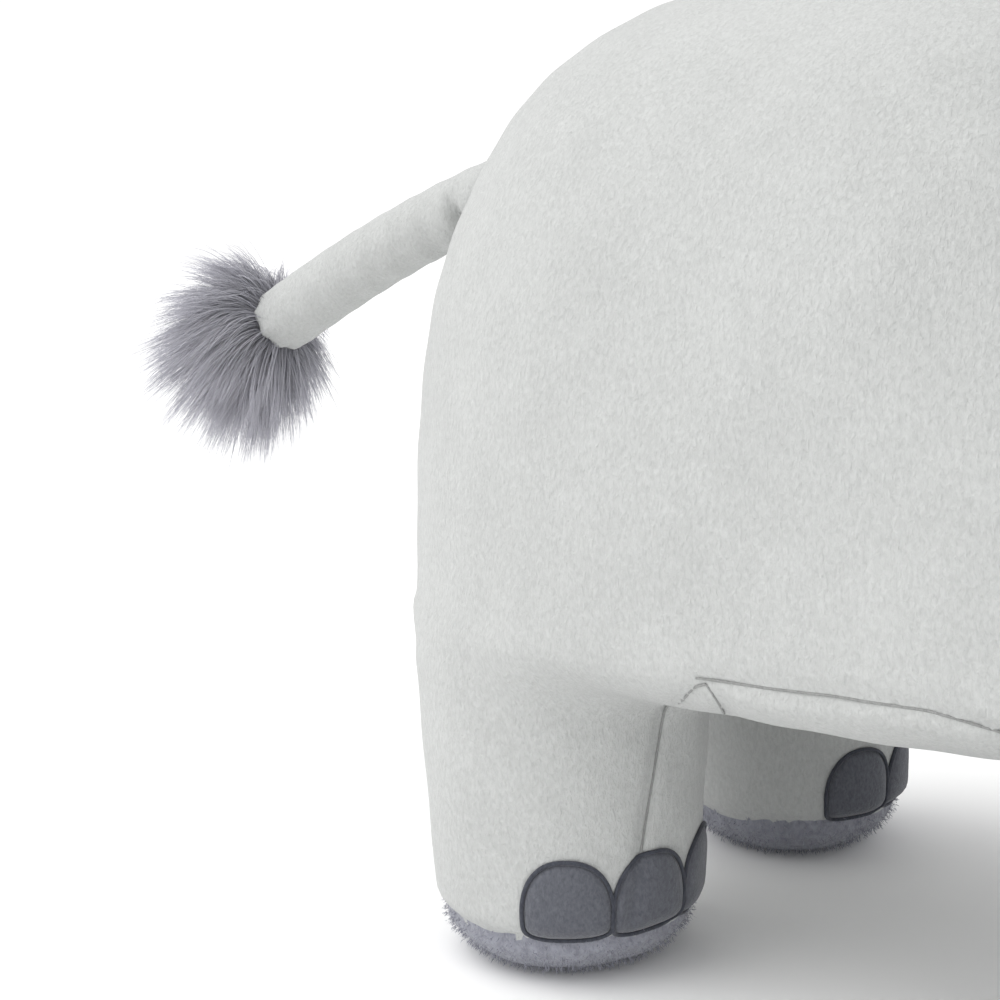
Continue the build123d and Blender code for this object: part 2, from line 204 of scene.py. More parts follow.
def body_parts(p):
    """The fields of torso with legs, of the head, and of the trunk."""
    torso = torso_field(p)
    hind = leg_field(p, HIND_Y)
    front = leg_field(p, FRONT_Y)
    inside = np.clip((LEG_X + 0.040 - np.abs(p[:, 0])) / 0.040, 0, 1)
    ahead_of_hind = np.clip((HIND_Y - p[:, 1]) / 0.03, 0, 1)
    between = ahead_of_hind * np.clip((p[:, 1] - FRONT_Y) / 0.03, 0, 1)
    chest = np.clip((FRONT_Y - p[:, 1]) / 0.03, 0, 1)
    soft = 0.007 + 0.013 * np.maximum(inside, between) + 0.022 * chest
    body = smooth_min(smooth_min(torso, hind, soft), front, soft)
    return body, head_field(p), chain_field(p, TRUNK_POINTS, TRUNK_RADII)


def skin_field(p):
    """The whole elephant but for its ears and tail."""
    body, head, trunk = body_parts(p)
    face = smooth_min(head, trunk, 0.026)
    return smooth_min(body, face, 0.012)


# ---------------------------------------------------------------- meshes

def surface_net(field, low, high, size):
    """A smooth quad mesh of a field's zero surface on a regular grid."""
    axes = [np.arange(low[i], high[i] + size, size) for i in range(3)]
    counts = [len(axis) for axis in axes]
    values = np.empty(counts, np.float32)
    for i, x in enumerate(axes[0]):
        y, z = np.meshgrid(axes[1], axes[2], indexing="ij")
        points = np.column_stack([np.full(y.size, x), y.ravel(), z.ravel()])
        values[i] = field(points).reshape(counts[1:])
    inside = values < 0
    cells = tuple(count - 1 for count in counts)
    total = np.zeros(cells + (3,), np.float32)
    number = np.zeros(cells, np.int16)
    for axis in range(3):
        first = [slice(None)] * 3
        second = [slice(None)] * 3
        first[axis], second[axis] = slice(0, -1), slice(1, None)
        v0, v1 = values[tuple(first)], values[tuple(second)]
        cross = inside[tuple(first)] != inside[tuple(second)]
        share = np.where(cross, v0 / np.where(cross, v0 - v1, 1), 0)
        others = [i for i in range(3) if i != axis]
        for da in (0, 1):
            for db in (0, 1):
                pick = [slice(None)] * 3
                pick[others[0]] = slice(da, da + cells[others[0]])
                pick[others[1]] = slice(db, db + cells[others[1]])
                c = cross[tuple(pick)]
                number += c
                total[..., axis] += np.where(c, share[tuple(pick)], 0)
                total[..., others[0]] += np.where(c, da, 0)
                total[..., others[1]] += np.where(c, db, 0)
    active = number > 0
    index = np.full(cells, -1, np.int64)
    index[active] = np.arange(active.sum())
    base = np.argwhere(active)
    start = np.array([axis[0] for axis in axes])
    verts = (base + total[active] / number[active][:, None]) * size + start
    quads = []
    for axis in range(3):
        first = [slice(1, -1)] * 3
        second = [slice(1, -1)] * 3
        first[axis], second[axis] = slice(0, -1), slice(1, None)
        start = inside[tuple(first)]
        cross = np.argwhere(start != inside[tuple(second)])
        a, b = [i for i in range(3) if i != axis]
        offset = np.ones(3, int)
        offset[axis] = 0
        edge = cross + offset
        corner = []
        for da, db in ((-1, -1), (0, -1), (0, 0), (-1, 0)):
            cell = edge.copy()
            cell[:, a] += da
            cell[:, b] += db
            corner.append(index[cell[:, 0], cell[:, 1], cell[:, 2]])
        quad = np.column_stack(corner)
        outward = inside[tuple(first)][cross[:, 0], cross[:, 1], cross[:, 2]]
        turned = outward if axis != 1 else ~outward
        quads.append(np.where(turned[:, None], quad, quad[:, ::-1]))
    return verts, np.vstack(quads)


def settle(field, verts, quads, rounds=3):
    """Even out the mesh along the surface and bring it back on to the field."""
    edges = np.vstack([quads[:, [i, (i + 1) % 4]] for i in range(4)])
    for _ in range(rounds):
        total = np.zeros_like(verts)
        count = np.zeros(len(verts))
        for a, b in ((0, 1), (1, 0)):
            np.add.at(total, edges[:, a], verts[edges[:, b]])
            np.add.at(count, edges[:, a], 1)
        verts = verts * 0.4 + total / count[:, None] * 0.6
        slope = gradient(field, verts)
        size = np.linalg.norm(slope, axis=1)
        verts = verts - slope * (field(verts) / np.maximum(size, 0.2) ** 2)[:, None]
    return verts


def gradient(field, points, step=0.0006):
    """Slope of a field at each point."""
    slope = np.empty_like(points)
    for axis in range(3):
        move = np.zeros(3)
        move[axis] = step
        slope[:, axis] = (field(points + move) - field(points - move)) / (2 * step)
    return slope


def unit(v):
    """Vectors of length one."""
    return v / np.maximum(np.linalg.norm(v, axis=-1, keepdims=True), 1e-12)


def new_object(name, verts, faces, material=None, smooth=True):
    """A mesh object from arrays of points and faces."""
    mesh = bpy.data.meshes.new(name)
    mesh.from_pydata([tuple(v) for v in verts], [], [tuple(int(i) for i in f) for f in faces])
    mesh.validate()
    if smooth:
        mesh.polygons.foreach_set("use_smooth", [True] * len(mesh.polygons))
    thing = bpy.data.objects.new(name, mesh)
    bpy.context.scene.collection.objects.link(thing)
    if material:
        mesh.materials.append(material)
    return thing


def piece_of(name, verts, quads, normals, keep, material):
    """The faces of a larger mesh that belong to one fabric piece, with its smooth normals."""
    faces = quads[keep]
    used, fresh = np.unique(faces, return_inverse=True)
    thing = new_object(name, verts[used], fresh.reshape(-1, 4), material)
    thing.data.normals_split_custom_set_from_vertices([tuple(n) for n in normals[used]])
    return thing


def mesh_tree(verts, quads):
    """A tree for rays and nearest points on a quad mesh."""
    return BVHTree.FromPolygons([tuple(v) for v in verts],
                                [tuple(int(i) for i in q) for q in quads])


def point_tree(points):
    """A tree for the nearest of some points."""
    tree = KDTree(len(points))
    for i, point in enumerate(points):
        tree.insert(point, i)
    tree.balance()
    return tree


def mesh_normals(verts, quads):
    """Smooth normals of a quad mesh."""
    a, b, c, d = (verts[quads[:, i]] for i in range(4))
    across = np.cross(c - a, d - b)
    normals = np.zeros_like(verts)
    for i in range(4):
        np.add.at(normals, quads[:, i], across)
    return unit(normals)


# ---------------------------------------------------------------- materials

class Nodes:
    """Short names for building a material's node tree."""

    def __init__(self, name):
        self.material = bpy.data.materials.new(name)
        self.material.use_nodes = True
        self.tree = self.material.node_tree
        self.tree.nodes.clear()
        self.out = self.add("ShaderNodeOutputMaterial")
        self.shader = self.add("ShaderNodeBsdfPrincipled")
        self.link(self.shader, "BSDF", self.out, "Surface")
        self.place = self.add("ShaderNodeTexCoord")

    def add(self, kind, **settings):
        node = self.tree.nodes.new(kind)
        for key, value in settings.items():
            if key in node.inputs:
                node.inputs[key].default_value = value
            else:
                setattr(node, key, value)
        return node

    def link(self, source, out, target, into):
        self.tree.links.new(source.outputs[out], target.inputs[into])

    def mapping(self, scale, turn=(0, 0, 0)):
        node = self.add("ShaderNodeMapping")
        node.inputs["Scale"].default_value = scale
        node.inputs["Rotation"].default_value = turn
        self.link(self.place, "Object", node, "Vector")
        return node

    def noise(self, scale, detail=3.0, rough=0.55, stretch=(1, 1, 1), turn=(0, 0, 0),
              distortion=0.0):
        node = self.add("ShaderNodeTexNoise", Scale=scale, Detail=detail, Roughness=rough,
                        Distortion=distortion)
        self.link(self.mapping(stretch, turn), "Vector", node, "Vector")
        return node

    def ramp(self, source, out, stops):
        node = self.add("ShaderNodeValToRGB")
        band = node.color_ramp
        while len(band.elements) < len(stops):
            band.elements.new(0.5)
        for element, (place, colour) in zip(band.elements, stops):
            element.position = place
            element.color = (*colour, 1.0)
        self.link(source, out, node, "Fac")
        return node

    def mix(self, factor, first, second, kind="MIX"):
        node = self.add("ShaderNodeMix", data_type="RGBA", blend_type=kind)
        for value, key in ((factor, 0), (first, 6), (second, 7)):
            if isinstance(value, tuple) and isinstance(value[0], bpy.types.Node):
                self.tree.links.new(value[0].outputs[value[1]], node.inputs[key])
            elif isinstance(value, tuple):
                node.inputs[key].default_value = (*value, 1.0)
            else:
                node.inputs[key].default_value = value
        return node

    def math(self, kind, a, b=0.5):
        node = self.add("ShaderNodeMath", operation=kind)
        for key, value in enumerate((a, b)):
            if isinstance(value, tuple):
                self.tree.links.new(value[0].outputs[value[1]], node.inputs[key])
            else:
                node.inputs[key].default_value = value
        return node

    def bump(self, height, out, strength, distance):
        node = self.add("ShaderNodeBump", Strength=strength, Distance=distance)
        self.link(height, out, node, "Height")
        return node

    def finish(self, normal=None, **values):
        for key, value in values.items():
            self.shader.inputs[key.replace("_", " ")].default_value = value
        if normal:
            self.link(normal, "Normal", self.shader, "Normal")
        return self.material


def pile_fabric(name, light, dark, clump=420.0, depth=0.0011, sheen=0.35, lean=0.45):
    """Short plush: soft clumps of pile that lean one way, brushed lighter and darker."""
    n = Nodes(name)
    clumps = n.noise(clump, 2.0, 0.6, (1, 1, lean), (0.35, 0.2, 0), 0.4)
    fibres = n.noise(clump * 3.3, 2.0, 0.7, (1, 1, 0.22), (0.35, 0.2, 0), 0.3)
    brushed = n.noise(24.0, 3.0, 0.6, distortion=0.6)
    height = n.math("ADD", (clumps, "Fac"), (n.math("MULTIPLY", (fibres, "Fac"), 0.45), 0))
    tone = n.ramp(height, 0, [(0.42, dark), (0.95, light)])
    wide = n.ramp(brushed, "Fac", [(0.3, (0.94, 0.94, 0.94)), (0.7, (1.0, 1.0, 1.0))])
    colour = n.mix(1.0, (tone, "Color"), (wide, "Color"), "MULTIPLY")
    n.tree.links.new(colour.outputs[2], n.shader.inputs["Base Color"])
    bump = n.bump(height, 0, 0.75, depth)
    return n.finish(bump, Roughness=0.93, Sheen_Weight=sheen, Sheen_Roughness=0.45,
                    Specular_IOR_Level=0.15)


def plain_gloss(name, colour, rough, coat):
    """Moulded plastic with the faintest waviness."""
    n = Nodes(name)
    wave = n.noise(60.0, 2.0)
    tint = n.ramp(wave, "Fac", [(0.3, colour), (0.8, tuple(c * 1.5 + 0.002 for c in colour))])
    n.link(tint, "Color", n.shader, "Base Color")
    bump = n.bump(wave, "Fac", 0.05, 0.0002)
    return n.finish(bump, Roughness=rough, Coat_Weight=coat, Coat_Roughness=0.03)


def fibre_material(name, dark, light, rough=0.75):
    """Loose fibre, darker at the root and paler at the tip, by a stored share along it."""
    n = Nodes(name)
    along = n.add("ShaderNodeAttribute", attribute_name="along", attribute_type="GEOMETRY")
    tone = n.add("ShaderNodeAttribute", attribute_name="tone", attribute_type="GEOMETRY")
    tip = n.ramp(along, "Fac", [(0.0, dark), (1.0, light)])
    vary = n.ramp(tone, "Fac", [(0.0, (0.72, 0.72, 0.74)), (1.0, (1.12, 1.12, 1.14))])
    colour = n.mix(1.0, (tip, "Color"), (vary, "Color"), "MULTIPLY")
    n.tree.links.new(colour.outputs[2], n.shader.inputs["Base Color"])
    return n.finish(Roughness=rough, Sheen_Weight=0.4, Sheen_Roughness=0.5, Specular_IOR_Level=0.25)


MINKY = pile_fabric("minky_pile", (0.565, 0.575, 0.568), (0.455, 0.464, 0.458),
                    660.0, 0.0010, 0.22, 0.6)
SOLE = pile_fabric("sole_plush", (0.36, 0.368, 0.42), (0.22, 0.226, 0.265),
                   300.0, 0.0016, 0.3, 0.8)
LINING = pile_fabric("lining_plush", (0.30, 0.305, 0.36), (0.19, 0.195, 0.235),
                     360.0, 0.0012, 0.5)
FELT = pile_fabric("toenail_plush", (0.140, 0.146, 0.168), (0.080, 0.084, 0.100),
                   800.0, 0.0005, 0.30, 0.6)
THREAD = pile_fabric("edge_thread", (0.075, 0.080, 0.098), (0.042, 0.045, 0.058),
                     900.0, 0.0004, 0.2)
STITCH = pile_fabric("seam_stitch", (0.34, 0.345, 0.34), (0.22, 0.225, 0.22),
                     900.0, 0.0003, 0.2)
FUR = fibre_material("tuft_fur", (0.20, 0.20, 0.225), (0.60, 0.595, 0.64))
SOLE_FIBRE = fibre_material("sole_fibre", (0.25, 0.255, 0.295), (0.36, 0.365, 0.415))
EYE = plain_gloss("eye_plastic", (0.006, 0.006, 0.008), 0.06, 1.0)


# ---------------------------------------------------------------- body skin

def seam_lines(p):
    """Distance of each point from the nearest seam of the body and head."""
    x = np.abs(p[:, 0])
    y, z = p[:, 1], p[:, 2]
    far = np.full(len(p), 1.0)
    seams = [np.abs(z - SOLE_SEAM)]
    for axis_y, inward in ((HIND_Y, -1), (FRONT_Y, 1)):
        outer = (z < 0.15) & ((y - axis_y) * inward < -0.02)
        seams.append(np.where(outer, np.abs(x - LEG_X), far))
    seams.append(np.where((z > 0.12) & (y > HEAD[1]), x, far))
    return np.minimum.reduce(seams)


# Where the seams between the side panels and the belly turn, in metres: out from the middle,
# ahead of the hind leg axis, and above the floor. Each line is laid on the skin from its own
# side.
CORNER = (0.76, 0.64, 0.15)
SIDE = (1.0, 0.0, 0.0)
LEG_SEAM = (CORNER, ((0.125, 0.062, 0.028), (0.125, 0.085, 0.131), (0.125, 0.091, 0.132)))
BELLY_SEAM = (SIDE, ((0.147, 0.106, 0.138), (0.148, 0.158, 0.140), (0.147, 0.188, 0.139),
                     (0.146, 0.211, 0.133), (0.140, 0.217, 0.116)))
DART = (CORNER, ((0.125, 0.091, 0.132), (0.125, 0.101, 0.121)))
FRONT_SEAM = (None, ((0.143, 0.217, 0.116), (0.110, 0.218, 0.072), (0.101, 0.218, 0.024)))
SEAMS = {"leg": LEG_SEAM, "belly": BELLY_SEAM, "dart": DART, "front_leg": FRONT_SEAM}


def seam_path(seam, sign, tree, lift=0.0, spacing=0.0015):
    """An even path through guide points, laid on the skin and lifted off it."""
    aim, guide = seam
    guide = np.array(guide)
    length = np.concatenate([[0], np.cumsum(np.linalg.norm(np.diff(guide, axis=0), axis=1))])
    share = np.linspace(0, length[-1], int(length[-1] / spacing) + 2)
    smooth = np.column_stack([np.interp(share, length, guide[:, i]) for i in range(3)])
    for _ in range(12):
        smooth[1:-1] = smooth[1:-1] * 0.5 + (smooth[:-2] + smooth[2:]) * 0.25
    points = []
    for out, ahead, height in smooth:
        place = Vector((sign * out, HIND_Y - ahead, FLOOR + height))
        if aim is None:
            near, normal, index, distance = tree.find_nearest(place)
        else:
            ray = Vector((sign * aim[0], -aim[1], aim[2])).normalized()
            near, normal, index, distance = tree.ray_cast(place + ray * 0.3, -ray)
        points.append(np.array(near + normal * lift))
    points = np.array(points)
    for _ in range(3):
        points[1:-1] = points[1:-1] * 0.5 + (points[:-2] + points[2:]) * 0.25
    return points


def pucker(p, normals):
    """Small soft waves and slow waves of the fabric, all over."""
    wave = np.sin(p[:, 0] * 61 + 1.3) * np.sin(p[:, 1] * 53 + 0.4) * np.sin(p[:, 2] * 47 + 2.1)
    fine = np.sin(p[:, 0] * 173 + p[:, 2] * 90) * np.sin(p[:, 1] * 160 - p[:, 2] * 75 + 1.0)
    return normals * (wave * 0.0011 + fine * 0.00035)[:, None]


COARSE = 0.009
CLOTH_FRAMES = 20
CLOTH_REACH = 0.0035


def cloth_moves(verts, seam):
    """How far each point moves when the filled skin is inflated as cloth, held at its seams."""
    low, high = verts.min(axis=0) - 0.02, verts.max(axis=0) + 0.02
    points, faces = surface_net(skin_field, low, high, COARSE)
    points = settle(skin_field, points, faces, 2)
    tree = point_tree(verts)
    seam_here = np.array([seam[tree.find(point)[1]] for point in points])
    form = new_object("cloth_form", points, faces)
    held = np.flatnonzero((seam_here < COARSE * 0.7) | (points[:, 2] < FLOOR + 0.006))
    group = form.vertex_groups.new(name="held")
    group.add([int(i) for i in held], 1.0, "REPLACE")
    cloth = form.modifiers.new("cloth", "CLOTH")
    cloth.settings.quality = 5
    cloth.settings.mass = 0.3
    cloth.settings.tension_stiffness = 12
    cloth.settings.compression_stiffness = 12
    cloth.settings.shear_stiffness = 4
    cloth.settings.bending_stiffness = 0.4
    cloth.settings.use_pressure = True
    cloth.settings.uniform_pressure_force = 4.0
    cloth.settings.vertex_group_mass = "held"
    cloth.settings.effector_weights.gravity = 0
    cloth.collision_settings.use_collision = False
    cloth.collision_settings.use_self_collision = False
    cloth.point_cache.frame_start = 1
    cloth.point_cache.frame_end = CLOTH_FRAMES
    scene = bpy.context.scene
    for number in range(1, CLOTH_FRAMES + 1):
        scene.frame_set(number)
    settled = form.evaluated_get(bpy.context.evaluated_depsgraph_get())
    filled = np.array([tuple(v.co) for v in settled.data.vertices])
    scene.frame_set(1)
    bpy.data.objects.remove(form)
    move = filled - points
    size = np.linalg.norm(move, axis=1, keepdims=True)
    move = move * (CLOTH_REACH * np.tanh(size / CLOTH_REACH) / np.maximum(size, 1e-9))
    tree = point_tree(points)
    spread = np.zeros_like(verts)
    for i, point in enumerate(verts):
        near = tree.find_n(point, 5)
        weight = np.array([1 / (d + 0.002) ** 2 for _, _, d in near])
        moves = move[[index for _, index, _ in near]]
        spread[i] = (moves * weight[:, None]).sum(axis=0) / weight.sum()
    return spread


def skin_pieces():
    """Make the whole skin, press in its seams, and cut it into fabric pieces."""
    low = np.array([-HALF_WIDTH - 0.02, TRUNK_POINTS[:, 1].min() - 0.04, FLOOR - 0.01])
    high = np.array([HALF_WIDTH + 0.02, RUMP + 0.02, head_high[2] + 0.02])
    verts, quads = surface_net(skin_field, low, high, GRID)
    verts = settle(skin_field, verts, quads)
    body, head, trunk = body_parts(verts)
    face = np.minimum(head, trunk)
    normals = mesh_normals(verts, quads)
    seam = seam_lines(verts)
    tree = mesh_tree(verts, quads)
    sewn = np.vstack([seam_path(seam_guide, sign, tree)
                      for seam_guide in SEAMS.values() for sign in (-1, 1)])
    near = point_tree(sewn)
    close = np.abs(verts[:, 1] - (HIND_Y + FRONT_Y) / 2) < 0.16
    for i in np.flatnonzero(close & (verts[:, 2] < 0.17)):
        seam[i] = min(seam[i], near.find(verts[i])[2])
    neck = np.abs(body - face)
    verts = verts + cloth_moves(verts, np.minimum(seam, neck))
    on_head = face < body
    seam = np.where(on_head, 1.0, seam)
    x = np.abs(verts[:, 0])
    skull = on_head & (trunk > 0.012)
    strip = STRIP_HALF - 0.010 * np.clip((HEAD[1] - verts[:, 1]) / 0.1, 0, 1)
    seam = np.where(skull & (verts[:, 2] > HEAD[2] - 0.02), np.abs(x - strip), seam)
    seam = np.where(skull & (verts[:, 2] < HEAD[2] - 0.05), np.abs(x - STRIP_HALF), seam)
    depth = SEAM_DEPTH * np.exp(-((seam / SEAM_WIDTH) ** 2))
    depth += NECK_DEPTH * np.exp(-((neck / NECK_WIDTH) ** 2))
    verts = verts + pucker(verts, normals) - normals * depth[:, None]
    verts[:, 2] = np.maximum(verts[:, 2], FLOOR + 0.0002)
    normals = mesh_normals(verts, quads)
    middle = verts[quads].mean(axis=1)
    q_body, q_head, q_trunk = body_parts(middle)
    head_face = np.minimum(q_head, q_trunk) < q_body
    past_root = middle @ TRUNK_DOWN > TRUNK_ROOT @ TRUNK_DOWN - 0.012
    trunk_face = head_face & (q_trunk < q_head) & past_root
    sole = ~head_face & (middle[:, 2] < SOLE_SEAM)
    return verts, quads, normals, head_face, trunk_face, sole


verts, quads, normals, head_face, trunk_face, sole_face = skin_pieces()
centres = verts[quads].mean(axis=1)
skin_tree = mesh_tree(verts, quads)

body_face = ~head_face & ~sole_face
off_middle = np.abs(centres[:, 0])
between_legs = (centres[:, 1] < HIND_Y - 0.035) & (centres[:, 1] > FRONT_Y + 0.035)
inner_leg = body_face & (off_middle < LEG_X) & (centres[:, 2] < BELLY - 0.003)
gusset = body_face & ~inner_leg & (off_middle < GUSSET_HALF) & (centres[:, 2] < BELLY + 0.017)
gusset &= (off_middle < LEG_X) | between_legs
side_face = body_face & ~inner_leg & ~gusset
right_side = centres[:, 0] < 0


def skin_piece(name, keep, material, nodes, body="elephant_body"):
    """One fabric piece of the skin, in place of its CAD nodes."""
    piece = piece_of(name, verts, quads, normals, keep, material)
    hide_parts(*nodes)
    if body:
        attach(piece, body)
    return piece


def side_words():
    """Each side's name, its faces, and the sign of its X."""
    return (("right", right_side, -1), ("left", ~right_side, 1))


FILLING = {
    "right_body_skin": ["body_stuffing"],
    "right_head_skin": ["head_stuffing", "forehead_gusset", "chin_panel",
                        "right_eye_washer", "left_eye_washer"],
}

for word, half, sign in side_words():
    name = f"{word}_body_skin"
    skin_piece(name, side_face & half, MINKY,
               [f"{word}_body_panel"] + FILLING.get(name, []))
    name = f"{word}_head_skin"
    skin_piece(name, head_face & ~trunk_face & half, MINKY,
               [f"{word}_head_panel"] + FILLING.get(name, []))
skin_piece("belly_skin", gusset, MINKY, ["belly_gusset"])
for word, half, sign in side_words():
    for row, axis_y in (("hind", HIND_Y), ("front", FRONT_Y)):
        near = half & (np.abs(centres[:, 1] - axis_y) < NEAR_LEG)
        name = f"{word}_{row}"
        skin_piece(f"{name}_inner_leg_skin", inner_leg & near, MINKY,
                   [f"{name}_inner_leg_panel", f"{name}_leg_stuffing"])
        skin_piece(f"{name}_sole_skin", sole_face & near, SOLE, [f"{name}_sole"])

trunk_nodes = [f"trunk_{part}" for part in ("right_panel", "left_panel", "tip_disc", "stuffing")]
trunk_skin = skin_piece("trunk_skin", trunk_face, MINKY, trunk_nodes, None)
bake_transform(trunk_skin)


# ---------------------------------------------------------------- toenails

NAIL_WIDTH = 0.0345
NAIL_HEIGHT = 0.0325
NAIL_RISE = 0.0022
NAIL_BASE = SOLE_SEAM + 0.0005
EDGE_RADIUS = 0.0009
NAIL_PITCH = math.radians(37.0)
NAIL_TURN = math.radians(15.0)


def dome_outline(count):
    """Points round a dome with a wide straight base and soft lower corners, base middle first."""
    half = NAIL_WIDTH / 2
    waist = NAIL_HEIGHT * 0.30
    points = []
    for i in range(count):
        angle = -math.pi / 2 + 2 * math.pi * i / count
        c, sn = math.cos(angle), math.sin(angle)
        power, rise = (2.25, NAIL_HEIGHT - waist) if sn > 0 else (4.5, waist)
        reach = (abs(c) ** power + abs(sn) ** power) ** (-1 / power)
        points.append((half * c * reach, waist + rise * sn * reach))
    return np.array(points)


def on_leg(sign, axis_y, turn, across, height, lift):
    """A point on the skin of a leg, at a turn from straight ahead, lifted off the fabric."""
    angle = turn + across / FOOT_RADIUS
    direction = Vector((sign * math.sin(angle), -math.cos(angle), 0))
    axis = Vector((sign * LEG_X, axis_y, height))
    hit, normal, index, distance = skin_tree.ray_cast(axis + direction * 0.12, -direction)
    if hit is None:
        hit, normal = axis + direction * FOOT_RADIUS, direction
    return np.array(hit + direction * lift)


def toenail(name, sign, axis_y, turn):
    """A crowned plush dome with a dark stitched edge."""
    rim = dome_outline(80)
    centre = np.array([0, NAIL_HEIGHT * 0.45])
    rings = 12
    verts, faces = [], []
    for r in range(rings + 1):
        share = r / rings
        for place in rim:
            at = centre + (place - centre) * share
            lift = NAIL_RISE * (1 - share ** 5) - (0.0012 if r == rings else 0.0)
            verts.append(on_leg(sign, axis_y, turn, at[0], NAIL_BASE + at[1], lift + 0.0003))
    count = len(rim)
    for r in range(1, rings):
        for i in range(count):
            j = (i + 1) % count
            faces.append((r * count + i, r * count + j, (r + 1) * count + j, (r + 1) * count + i))
    middle = len(verts)
    verts.append(verts[0])
    for i in range(count):
        faces.append((middle, count + i, count + (i + 1) % count))
    pad = new_object(name, np.array(verts), faces, FELT)
    tidy_mesh(pad)
    path = [on_leg(sign, axis_y, turn, u, NAIL_BASE + v, 0.0007) for u, v in rim]
    edge = tube(name + "_edge", np.array(path), EDGE_RADIUS, 8, THREAD, closed=True)
    return pad, edge


def tidy_mesh(thing):
    """Drop loose points and turn faces outwards."""
    bm = bmesh.new()
    bm.from_mesh(thing.data)
    bmesh.ops.remove_doubles(bm, verts=bm.verts, dist=1e-6)
    bmesh.ops.delete(bm, geom=[v for v in bm.verts if not v.link_faces], context="VERTS")
    bmesh.ops.recalc_face_normals(bm, faces=bm.faces)
    bm.to_mesh(thing.data)
    bm.free()


def frames_along(path, closed):
    """Tangents and two steady side directions along a path."""
    if closed:
        tangent = unit(np.roll(path, -1, 0) - np.roll(path, 1, 0))
    else:
        tangent = unit(np.gradient(path, axis=0))
    side = np.cross(tangent[0], [0.0, 0.0, 1.0])
    if np.linalg.norm(side) < 0.1:
        side = np.cross(tangent[0], [1.0, 0.0, 0.0])
    side = side / np.linalg.norm(side)
    sides = []
    for t in tangent:
        side = side - t * (side @ t)
        side = side / np.linalg.norm(side)
        sides.append(side)
    sides = np.array(sides)
    return tangent, sides, np.cross(tangent, sides)


def tube(name, path, radius, around, material, closed=False, shape=None):
    """A tube along a path; shape gives a radius for each point and angle."""
    tangent, side, other = frames_along(path, closed)
    angles = np.arange(around) * 2 * math.pi / around
    radii = np.full((len(path), around), radius) if shape is None else shape(len(path), angles)
    ring = side[:, None] * np.cos(angles)[None, :, None]
    ring = ring + other[:, None] * np.sin(angles)[None, :, None]
    verts = (path[:, None] + ring * radii[..., None]).reshape(-1, 3)
    rows = len(path) if closed else len(path) - 1
    faces = []
    for i in range(rows):
        k = (i + 1) % len(path)
        for j in range(around):
            m = (j + 1) % around
            faces.append((i * around + j, i * around + m, k * around + m, k * around + j))
    if not closed:
        faces.append(tuple(reversed(range(around))))
        faces.append(tuple((len(path) - 1) * around + j for j in range(around)))
    thing = new_object(name, verts, faces, material)
    tidy_mesh(thing)
    return thing


for word, half, sign in side_words():
    for row, axis_y in (("hind", HIND_Y), ("front", FRONT_Y)):
        for place, step in (("outer", 1), ("middle", 0), ("inner", -1)):
            node = f"{word}_{row}_{place}_toenail"
            pad, edge = toenail(node + "_pad", sign, axis_y, NAIL_TURN + step * NAIL_PITCH)
            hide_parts(node)
            for thing in (pad, edge):
                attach(thing, "elephant_body")


# ---------------------------------------------------------------- seam threads

STITCH_RADIUS = 0.0005

for word, half, sign in side_words():
    for part, guide in SEAMS.items():
        path = seam_path(guide, sign, skin_tree, 0.0001)
        thread = tube(f"{word}_{part}_seam_thread", path, STITCH_RADIUS, 6, STITCH)
        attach(thread, "elephant_body")


# ---------------------------------------------------------------- fibres

def fibres(name, roots, tips, bow, width, material, tones, steps=6):
    """Thin tapering ribbons from root to tip, bowed on the way, each with its own tone."""
    count = len(roots)
    share = np.linspace(0, 1, steps + 1)
    path = roots[:, None] + (tips - roots)[:, None] * share[None, :, None]
    path = path + bow[:, None] * (share * (1 - share) * 4)[None, :, None]
    direction = unit(tips - roots)
    across = unit(np.cross(direction, RANDOM.normal(size=(count, 3))))
    half = width[:, None] * np.sqrt(np.clip(1 - share, 0.0, 1.0))[None, :] / 2
    left_edge = path + across[:, None] * half[..., None]
    right_edge = path - across[:, None] * half[..., None]
    verts = np.stack([left_edge, right_edge], axis=2).reshape(-1, 3)
    start = (np.arange(count) * (steps + 1) * 2)[:, None] + (np.arange(steps) * 2)[None, :]
    start = start.reshape(-1)
    faces = np.column_stack([start, start + 1, start + 3, start + 2])
    mesh = bpy.data.meshes.new(name)
    mesh.vertices.add(len(verts))
    mesh.vertices.foreach_set("co", verts.astype(np.float32).ravel())
    mesh.loops.add(len(faces) * 4)
    mesh.loops.foreach_set("vertex_index", faces.astype(np.int32).ravel())
    mesh.polygons.add(len(faces))
    mesh.polygons.foreach_set("loop_start", np.arange(0, len(faces) * 4, 4, dtype=np.int32))
    mesh.polygons.foreach_set("use_smooth", [True] * len(faces))
    mesh.update(calc_edges=True)
    along = np.tile(np.repeat(share, 2), count).astype(np.float32)
    mesh.attributes.new("along", "FLOAT", "POINT").data.foreach_set("value", along)
    tone = np.repeat(tones, (steps + 1) * 2).astype(np.float32)
    mesh.attributes.new("tone", "FLOAT", "POINT").data.foreach_set("value", tone)
    mesh.materials.append(material)
    thing = bpy.data.objects.new(name, mesh)
    bpy.context.scene.collection.objects.link(thing)
    return thing


RANDOM = np.random.default_rng(7)


